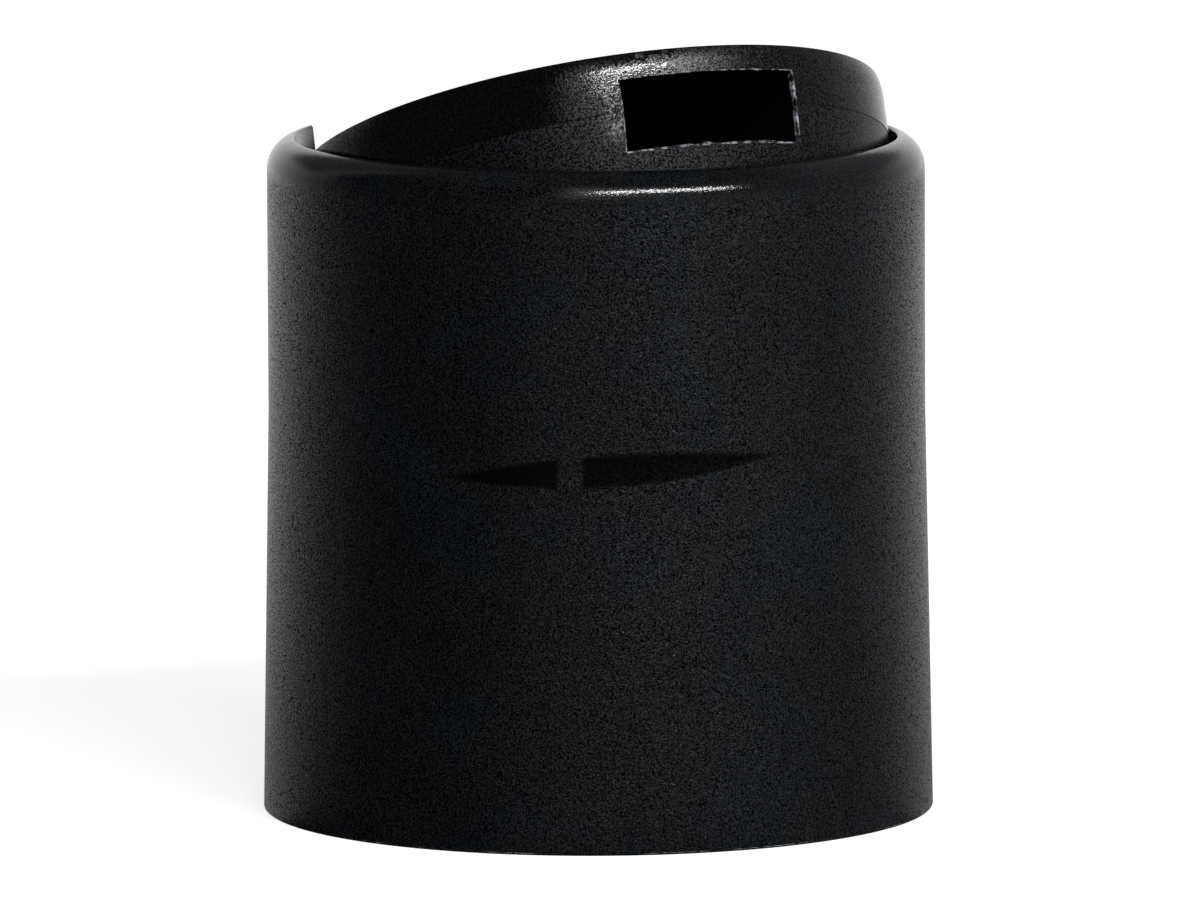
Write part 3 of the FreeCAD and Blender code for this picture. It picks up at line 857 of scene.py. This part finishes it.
def disc_outline(sizes):
    """Half section of the top plate, the flange and the lower wall."""
    low = sizes.top - sizes.depth
    under = sizes.top - sizes.plate
    flange_low = sizes.top - sizes.flange
    inside = cavity_radius(sizes)
    small = sizes.small_round
    wall_steps = 16
    lean_steps = 8
    lower = [low + (flange_low - low) * step / wall_steps for step in range(1, wall_steps)]
    leaning = [sizes.top - sizes.lean_height * (1 - step / lean_steps) for step in range(lean_steps - 2)]
    corners = [(0, under), (inside, under, 0.4 * MM), (inside, low, small),
               (wall_radius(sizes, low), low, small)]
    corners += [(wall_radius(sizes, height), height) for height in lower]
    corners += [(sizes.radius - sizes.ledge, flange_low), (sizes.radius, flange_low, 0.02 * MM)]
    corners += [(wall_radius(sizes, height), height) for height in leaning]
    corners += [(wall_radius(sizes, sizes.top), sizes.top, sizes.edge_round), (0, sizes.top)]
    return rounded(corners)


def add_duct(disc, sizes):
    """The tapering duct from the ball into the lower wall."""
    under = sizes.top - sizes.plate
    middle = sizes.top - sizes.plate / 2
    half_front = sizes.slot_width / 2 + sizes.duct_wall
    wall_end = wall_radius(sizes, sizes.top - sizes.depth)
    corner = math.sqrt(wall_end ** 2 - half_front ** 2)
    half_rear = sizes.throat_width / 2 + sizes.duct_wall
    rear = rectangle(half_rear, under - sizes.throat_height - sizes.duct_wall, middle, -sizes.duct_start)
    front = rectangle(half_front, under - sizes.slot_height - sizes.duct_wall, middle,
                      -PIVOT.y - (cavity_radius(sizes) + corner) / 2)
    combine(disc, loft("duct_core", [rear, front]), "UNION")


def add_ball(disc, sizes):
    """The ball of the valve, centred on the pivot."""
    middle = sizes.top - sizes.plate / 2
    outline = half_ball(0, sizes.ball_radius, 28) + [(sizes.ball_radius, middle), (0, middle)]
    combine(disc, lathe("ball_core", outline, 112), "UNION")


def add_studs(disc, sizes):
    """The two pivot studs with bevelled ends."""
    root = (cavity_radius(sizes) + sizes.radius) / 2
    outline = [(0, root), (sizes.stud_radius, root), (sizes.stud_radius, sizes.stud_tip - sizes.stud_bevel),
               (sizes.stud_radius - sizes.stud_bevel, sizes.stud_tip), (0, sizes.stud_tip)]
    for side, name in ((1, "right_stud"), (-1, "left_stud")):
        stud = lathe(name, outline, 40)
        stud.data.transform(Matrix.Rotation(math.radians(90) * side, 4, "Y"))
        combine(disc, stud, "UNION")


def cut_passage(disc, sizes):
    """The channel: a throat in the ball, then a widening duct to the slot."""
    under = sizes.top - sizes.plate
    throat = (sizes.throat_width / 2, under - sizes.throat_height, under)
    mouth = (sizes.slot_width / 2, under - sizes.slot_height, under)
    slot_start = -PIVOT.y - cavity_radius(sizes)
    outside = slot_start - 2 * sizes.wall
    places = [(throat, sizes.throat_back), (throat, -sizes.duct_start), (mouth, slot_start),
              (mouth, outside)]
    passage = loft("passage_cutter", [rectangle(*size, depth) for size, depth in places])
    combine(disc, passage, "DIFFERENCE")


def cut_inlet(disc, sizes):
    """The opening in the rear of the ball that the spout covers when the disc is shut."""
    half_width = sizes.inlet_width / 2
    half_height = sizes.inlet_height / 2
    top = sizes.top - sizes.plate - sizes.throat_height
    low = -sizes.ball_radius - sizes.inlet_height
    inlet = loft("inlet_cutter", [rectangle(half_width, low, top, -half_height),
                                  rectangle(half_width, low, top, half_height)])
    inlet.data.transform(Matrix.Rotation(sizes.inlet_angle, 4, "X"))
    combine(disc, inlet, "DIFFERENCE")


def cut_dish(disc, sizes):
    """The thumb dish on the rear of the top face."""
    over = 0.3 * MM
    floor = sizes.top - sizes.dish_depth
    floor_radius = sizes.dish_radius - sizes.dish_side
    slope = sizes.dish_side / sizes.dish_depth
    outline = rounded([(0, floor), (floor_radius, floor, 1.2 * MM),
                       (sizes.dish_radius + slope * over, sizes.top + over),
                       (0, sizes.top + over)], math.radians(3))
    place = (0, sizes.dish_back - PIVOT.y)
    combine(disc, lathe("dish_cutter", outline, 144, place), "DIFFERENCE")


class DISCCAP_OT_disc(bpy.types.Operator):
    """Build the tilting disc with its flange, lower wall, duct, ball, studs, slot and thumb dish"""
    bl_idname = "disc_cap.disc"
    bl_label = "Disc"

    def execute(self, context):
        sizes = context.scene.disc_cap_disc
        disc = lathe("disc_moulding", disc_outline(sizes), sizes.turns, (0, -PIVOT.y))
        add_duct(disc, sizes)
        add_ball(disc, sizes)
        add_studs(disc, sizes)
        cut_passage(disc, sizes)
        cut_inlet(disc, sizes)
        cut_dish(disc, sizes)
        smooth(disc)
        to_open(disc)
        dress(disc, DISC_BODY, "disc_plastic_gloss")
        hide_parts(DISC_NODE)
        return {"FINISHED"}


# Flash. It stands out by less than the gap between the shut disc and its recess
MOST_STAND = 0.18 * MM


def ragged_ridge(route, size, grain, seed):
    """Sections of a thin, torn ridge. Each stop of the route is (edge point, outward, into the gap)."""
    foot = 0.02 * MM + 0.12 * size
    sections = []
    for point, outward, gapward in route:
        coarse = noise.noise(point / grain * 0.35 + Vector((seed, 0, 0)))
        fine = noise.noise(point / grain + Vector((0, seed, 0)))
        tall = size * max(0.03, 0.3 + 1.1 * coarse + 0.8 * fine)
        lean = 0.5 + 0.5 * noise.noise(point / grain * 0.7 + Vector((0, 0, seed)))
        stand = min(tall * (1 - lean * 0.6), MOST_STAND)
        sections.append([point - gapward * foot * 1.5 - outward * 0.01 * MM,
                         point - outward * foot * 2,
                         point + gapward * tall * lean * 0.6 + outward * stand])
    return sections


def slot_edge(sizes, start, end, steps):
    """A stretch of the slot's edge in the disc's wall, from (x, z) to (x, z)."""
    stops = []
    middle = Vector((0, sizes.top - sizes.plate - sizes.slot_height / 2))
    across = (Vector(end) - Vector(start)).normalized()
    inward = Vector((-across.y, across.x))
    if inward.dot(middle - Vector(start)) < 0:
        inward.negate()
    for step in range(steps + 1):
        x, z = Vector(start).lerp(Vector(end), step / steps)
        depth = math.sqrt(wall_radius(sizes, z) ** 2 - x ** 2)
        outward = Vector((x, -depth, 0)).normalized()
        gapward = Vector((inward.x, 0, inward.y))
        stops.append((Vector((x, -PIVOT.y - depth, z)), outward, gapward))
    return stops


class DISCCAP_OT_slot_flash(bpy.types.Operator):
    """Build the ragged flash that the mould left round the dispensing slot"""
    bl_idname = "disc_cap.slot_flash"
    bl_label = "Slot Flash"

    def execute(self, context):
        sizes = context.scene.disc_cap_disc
        flash = context.scene.disc_cap_flash
        half = sizes.slot_width / 2
        high = sizes.top - sizes.plate
        low = high - sizes.slot_height
        # Start, end, steps, and the size of the tears as a share of the flash's size
        edges = [
            ((-half, high), (half, high), 180, 0.26),
            ((-half, high), (-half, low), 90, 0.2),
            ((half, high), (half, low), 90, 1.2),
            ((-half, low), (half, low), 180, 0.5),
        ]

        def build(grid):
            for order, (start, end, steps, weight) in enumerate(edges):
                route = slot_edge(sizes, start, end, steps)
                size = flash.slot_flash * weight
                skin(grid, ragged_ridge(route, size, flash.slot_grain, flash.seed + order * 3.7))

        piece = add_object("slot_flash", build)
        to_open(piece)
        dress(piece, DISC_BODY, "flash_plastic_white")
        return {"FINISHED"}


class DISCCAP_OT_base_flash(bpy.types.Operator):
    """Build the faint flash on the outer edge of the base"""
    bl_idname = "disc_cap.base_flash"
    bl_label = "Base Flash"

    def execute(self, context):
        sizes = context.scene.disc_cap_body
        flash = context.scene.disc_cap_flash
        steps = 720
        radius = sizes.base_radius - 0.02 * MM
        above = Vector((0, 0, 0.09 * MM))
        down = Vector((0, 0, -0.4))
        route = []
        for step in range(steps):
            turn = math.tau * step / steps
            outward = Vector((math.cos(turn), math.sin(turn), 0))
            route.append((outward * radius + above, outward, down))
        sections = ragged_ridge(route, flash.base_flash, flash.base_grain, flash.seed)
        piece = add_object("base_flash", lambda grid: skin(grid, sections, closed=True))
        dress(piece, CAP_BODY, "flash_plastic_white")
        return {"FINISHED"}


# Camera and studio

class DISCCAP_OT_camera(bpy.types.Operator):
    """Place the camera at the photograph's viewing angle and framing"""
    bl_idname = "disc_cap.camera"
    bl_label = "Photograph's Camera"

    def execute(self, context):
        data = bpy.data.cameras.new("photo_camera")
        data.lens = CAMERA_LENS
        data.sensor_width = 36.0
        data.shift_x = (PHOTO_WIDTH / 2 - AIM_PIXEL[0]) / PHOTO_WIDTH
        data.shift_y = (AIM_PIXEL[1] - PHOTO_HEIGHT / 2) / PHOTO_WIDTH
        data.clip_start = 0.05
        data.clip_end = 20.0
        camera = bpy.data.objects.new("photo_camera", data)
        context.scene.collection.objects.link(camera)
        backward = TOWARDS_CAMERA * math.cos(PHOTO_ELEVATION) + Vector((0, 0, math.sin(PHOTO_ELEVATION)))
        facing = backward.to_track_quat("Z", "Y").to_matrix().to_4x4()
        camera.matrix_world = (Matrix.Translation(AIM + backward * CAMERA_DISTANCE) @ facing
                               @ Matrix.Rotation(PHOTO_ROLL, 4, "Z"))
        context.scene.camera = camera
        return {"FINISHED"}


def along(tree, place, axis):
    """How far a place or a direction reaches along an axis."""
    return vector_value(tree, "DOT_PRODUCT", place, tuple(axis))


def bearing(tree, across, forward):
    """Where a place or direction lies round the axis: 0.5 towards the camera, more to its right."""
    return even(tree, calculate(tree, "ARCTAN2", across, forward), -math.pi, math.pi)


def floor_bearing(tree, place):
    """The bearing on the floor, taken past the sides of the object: what the skirt mirrors beside it."""
    across = along(tree, place, CAMERA_RIGHT)
    forward = along(tree, place, TOWARDS_CAMERA)
    beside = ease(tree, forward, 2 * MM, 18 * MM, 1.0, 0.0)
    past = minus(tree, calculate(tree, "ABSOLUTE", across), times(tree, beside, 12.5 * MM))
    past = times(tree, calculate(tree, "MAXIMUM", past, 0.0), calculate(tree, "SIGN", across))
    return bearing(tree, past, minus(tree, forward, times(tree, beside, 6 * MM)))


def ramp(tree, value, levels):
    """A grey level by direction. Each level is (degrees to the right of the camera, brightness)."""
    made = add_node(tree, "ShaderNodeValToRGB", Fac=value)
    elements = made.color_ramp.elements
    for element, (degrees, level) in zip(elements, (levels[0], levels[-1])):
        element.position = degrees / 360 + 0.5
        element.color = (level, level, level, 1)
    for degrees, level in levels[1:-1]:
        elements.new(degrees / 360 + 0.5).color = (level, level, level, 1)
    return made.outputs[0]


# Brightness by degrees to the right of the camera. At the floor's level the backdrop is bright behind the
# object, and the room in front is dark on the left and dim on the right. Above that, a bright panel starts
# a little left of the front and fades to the right.
LEVEL_SURROUNDINGS = (
    (-180, 1.0), (-155, 0.80), (-136, 0.48), (-122, 0.28), (-111, 0.20), (-107, 0.08), (-88, 0.03),
    (-26, 0.03), (-12, 0.11), (10, 0.14), (32, 0.24), (62, 0.24), (85, 0.15), (105, 0.14), (122, 0.28),
    (138, 0.48), (156, 0.85), (180, 1.0),
)
UPPER_SURROUNDINGS = (
    (-180, 0.10), (-130, 0.10), (-114, 0.28), (-111, 0.02), (-13, 0.02), (-11, 0.85), (-2, 0.80),
    (9, 0.45), (17, 0.36), (28, 0.16), (60, 0.10), (100, 0.16), (140, 0.16), (180, 0.10),
)

# Where the backdrop stands, how much further up its lower level reaches there, and the level overhead
BACKDROP = ((-180, 1.0), (-168, 1.0), (-156, 0.0), (156, 0.0), (168, 1.0), (180, 1.0))
BACKDROP_RISE = 0.15
OVERHEAD = 0.05


def glow(tree, strength):
    """White light of the given strength."""
    return add_node(tree, "ShaderNodeEmission", Color=WHITE, Strength=strength).outputs[0]


def ray_kinds(tree):
    """Two masks: rays that see a surface directly or through something clear, and mirrored ones."""
    path = add_node(tree, "ShaderNodeLightPath").outputs
    direct = calculate(tree, "MAXIMUM", path["Is Camera Ray"], path["Is Transmission Ray"])
    return direct, path["Is Glossy Ray"]


def make_floor_material(name, finish):
    """A pale floor that the camera sees as white, with the object's shadow on it."""
    material, tree, place = new_material(name)
    direct, mirrored = ray_kinds(tree)
    ground = add_node(tree, "ShaderNodeBsdfDiffuse", Color=(*finish.floor_colour, 1)).outputs[0]
    lift = glow(tree, times(tree, direct, FLOOR_LIFT))
    lit = add_node(tree, "ShaderNodeAddShader", i0=ground, i1=lift).outputs[0]
    away = vector_value(tree, "LENGTH", place)
    shade = even(tree, away, 0.016, 0.17, 0.45, 1.0)
    level = ramp(tree, floor_bearing(tree, place), LEVEL_SURROUNDINGS)
    reflection = glow(tree, times(tree, level, shade))
    mixed = add_node(tree, "ShaderNodeMixShader", i0=mirrored, i1=lit, i2=reflection).outputs[0]
    add_node(tree, "ShaderNodeOutputMaterial", Surface=mixed)
    return material


def make_world():
    """White to the camera. For the object it is a bright backdrop behind and a dim room in front."""
    world = bpy.data.worlds.new("studio")
    world.use_nodes = True
    tree = world.node_tree
    tree.nodes.clear()
    direction = add_node(tree, "ShaderNodeTexCoord").outputs["Generated"]
    up = add_node(tree, "ShaderNodeSeparateXYZ", Vector=direction).outputs[2]
    turn = bearing(tree, along(tree, direction, CAMERA_RIGHT), along(tree, direction, TOWARDS_CAMERA))
    above = minus(tree, up, times(tree, ramp(tree, turn, BACKDROP), BACKDROP_RISE))
    raised = ease(tree, above, math.sin(math.radians(13)), math.sin(math.radians(23)))
    low_room = ramp(tree, turn, LEVEL_SURROUNDINGS)
    room = blend_value(tree, raised, low_room, ramp(tree, turn, UPPER_SURROUNDINGS))
    overhead = ease(tree, up, math.sin(math.radians(45)), math.sin(math.radians(62)))
    room = blend_value(tree, overhead, room, OVERHEAD)
    seen = calculate(tree, "MAXIMUM", room, ray_kinds(tree)[0])
    background = add_node(tree, "ShaderNodeBackground", Color=WHITE, Strength=seen).outputs[0]
    add_node(tree, "ShaderNodeOutputWorld", Surface=background)
    return world


def add_strip_light(name, place, size, watts):
    """A rectangular lamp that faces the object, with its long side level."""
    data = bpy.data.lights.new(name, "AREA")
    data.shape = "RECTANGLE"
    data.size, data.size_y = size
    data.energy = watts
    lamp = bpy.data.objects.new(name, data)
    bpy.context.scene.collection.objects.link(lamp)
    right = Vector((0, 0, 1)).cross(place).normalized()
    backward = place.normalized()
    upward = backward.cross(right).normalized()
    axes = Matrix((upward.cross(backward), upward, backward)).transposed()
    lamp.matrix_world = Matrix.Translation(place) @ axes.to_4x4()


class DISCCAP_OT_stage(bpy.types.Operator):
    """Set up the pale floor, the world and the strip light"""
    bl_idname = "disc_cap.stage"
    bl_label = "Studio"

    def execute(self, context):
        scene = context.scene
        scene.view_settings.view_transform = "Standard"

        def build(grid):
            bmesh.ops.create_grid(grid, x_segments=1, y_segments=1, size=FLOOR_REACH)

        floor = add_object("studio_floor", build)
        floor.data.materials.append(make_floor_material("studio_floor", scene.disc_cap_finish))
        scene.world = make_world()
        add_strip_light("strip_softbox", STRIP_PLACE, STRIP_SIZE, STRIP_WATTS)
        return {"FINISHED"}


class DISCCAP_PT_sidebar(bpy.types.Panel):
    """The cap's pieces, sizes and finishes"""
    bl_idname = "DISCCAP_PT_sidebar"
    bl_label = "Disc Top Cap"
    bl_space_type = "VIEW_3D"
    bl_region_type = "UI"
    bl_category = TAB

    def draw(self, context):
        layout = self.layout
        for operator in OPERATORS:
            layout.operator(operator.bl_idname)
        for name, group in GROUPS.items():
            box = layout.box()
            box.label(text=name.replace("_", " ").title())
            settings = getattr(context.scene, name)
            for field in group.__annotations__:
                box.prop(settings, field)


GROUPS = {
    "disc_cap_body": DiscCapBodySizes,
    "disc_cap_thread": DiscCapThreadSizes,
    "disc_cap_disc": DiscCapDiscSizes,
    "disc_cap_flash": DiscCapFlashSizes,
    "disc_cap_finish": DiscCapFinish,
}
OPERATORS = (DISCCAP_OT_camera, DISCCAP_OT_stage, DISCCAP_OT_body, DISCCAP_OT_thread, DISCCAP_OT_disc,
             DISCCAP_OT_slot_flash, DISCCAP_OT_base_flash)


def register():
    for item in (*GROUPS.values(), *OPERATORS, DISCCAP_PT_sidebar):
        bpy.utils.register_class(item)
    for name, group in GROUPS.items():
        setattr(bpy.types.Scene, name, PointerProperty(type=group))


def unregister():
    for name in GROUPS:
        delattr(bpy.types.Scene, name)
    for item in (DISCCAP_PT_sidebar, *reversed(OPERATORS), *reversed(GROUPS.values())):
        bpy.utils.unregister_class(item)


def main():
    register()
    for operator in OPERATORS:
        family, action = operator.bl_idname.split(".")
        getattr(getattr(bpy.ops, family), action)()


if __name__ == "__main__":
    main()
